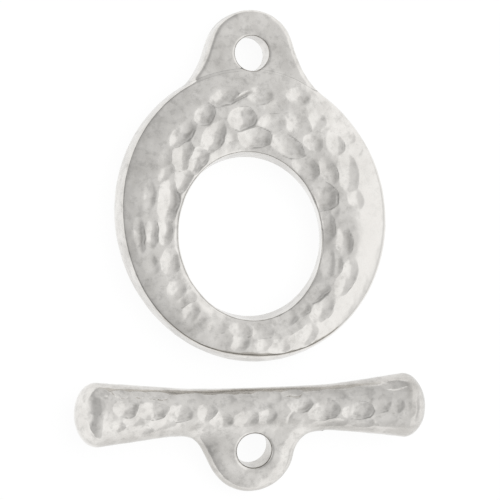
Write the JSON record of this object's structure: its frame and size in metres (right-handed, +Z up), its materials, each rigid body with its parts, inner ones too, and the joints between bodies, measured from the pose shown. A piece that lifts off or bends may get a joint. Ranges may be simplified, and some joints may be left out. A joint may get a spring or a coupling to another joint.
{
  "type": "toggle clasp",
  "caption": "Hammered cast-metal toggle clasp: an oval ring and a flared round bar that passes through it, each with a flat eye for a jump ring.",
  "frame": {"origin": "middle of the layout's outline, on the surface that both castings lie on", "axes": "+Z up from the surface, +Y from the bar towards the ring's eye, +X to the right along the bar"},
  "size_m": [0.0204, 0.0276, 0.0037],
  "materials": {
    "plated_metal": "hammered casting with bright, slightly warm silver plating, soft sheen and grey tarnish in its recesses"
  },
  "bodies": {
    "root": {"ring": "plated_metal", "bar": "plated_metal"}
  },
  "joints": []
}
